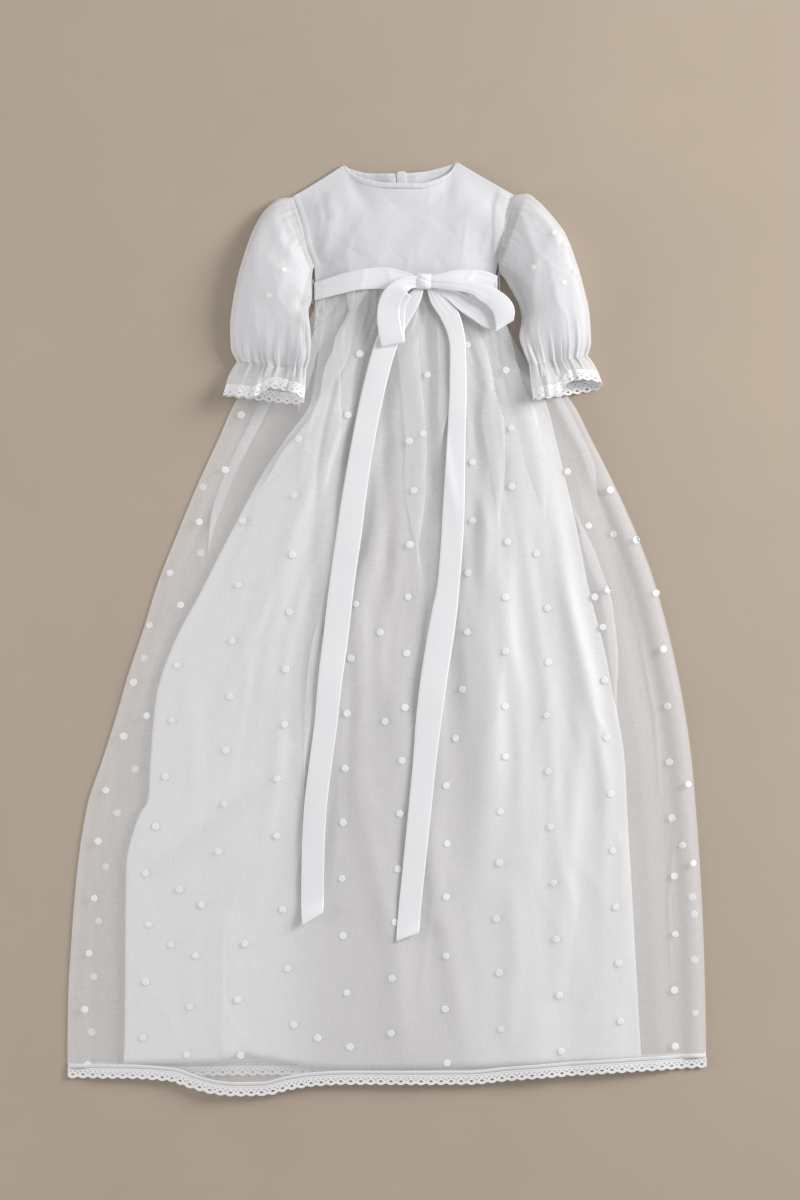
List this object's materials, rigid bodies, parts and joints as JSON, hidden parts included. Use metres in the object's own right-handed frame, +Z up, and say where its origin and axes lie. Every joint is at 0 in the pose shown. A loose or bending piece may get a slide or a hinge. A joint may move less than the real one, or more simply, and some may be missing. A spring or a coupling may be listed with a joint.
{
  "type": "christening gown",
  "caption": "Long white christening gown laid flat: batiste bodice, puffed organza sleeves, dotted organza overskirt on a lining, lace hem and cuffs, satin sash tied in a bow",
  "frame": {"origin": "on the surface that the gown lies on, below the middle of its outline", "axes": "+X to the right of the gown as seen from above, +Y from the hem to the neck, +Z up from the surface, out of the gown's front"},
  "size_m": [0.6383, 0.9315, 0.0343],
  "materials": {
    "cotton": "plain white cotton batiste, matt",
    "organza": "sheer white organza with small embroidered dots",
    "lining": "plain white lining, matt",
    "lace": "narrow white cotton lace with a scalloped edge",
    "satin": "white satin ribbon with a soft sheen",
    "thread": "worked white sewing thread",
    "button": "small white button, glossy"
  },
  "bodies": {
    "root": {"bodice_front": "cotton", "bodice_back_left": "cotton", "bodice_back_right": "cotton", "neck_binding_front": "cotton", "neck_binding_back_left": "cotton", "neck_binding_back_right": "cotton", "back_button": "button", "sleeve_left": "organza", "sleeve_right": "organza", "sleeve_lining_left": "lining", "sleeve_lining_right": "lining", "cuff_left": "organza", "cuff_right": "organza", "cuff_lace_left": "lace", "cuff_lace_right": "lace", "skirt_front": "organza", "skirt_back": "organza", "skirt_lining_front": "lining", "skirt_lining_back": "lining", "hem_lace_front": "lace", "hem_lace_back": "lace", "sash_front": "satin", "sash_back": "satin", "sash_knot": "satin", "sash_loop_left": "satin", "sash_loop_right": "satin", "sash_tail_left": "satin", "sash_tail_right": "satin", "thread_loop_left": "thread", "thread_loop_right": "thread"}
  },
  "joints": []
}
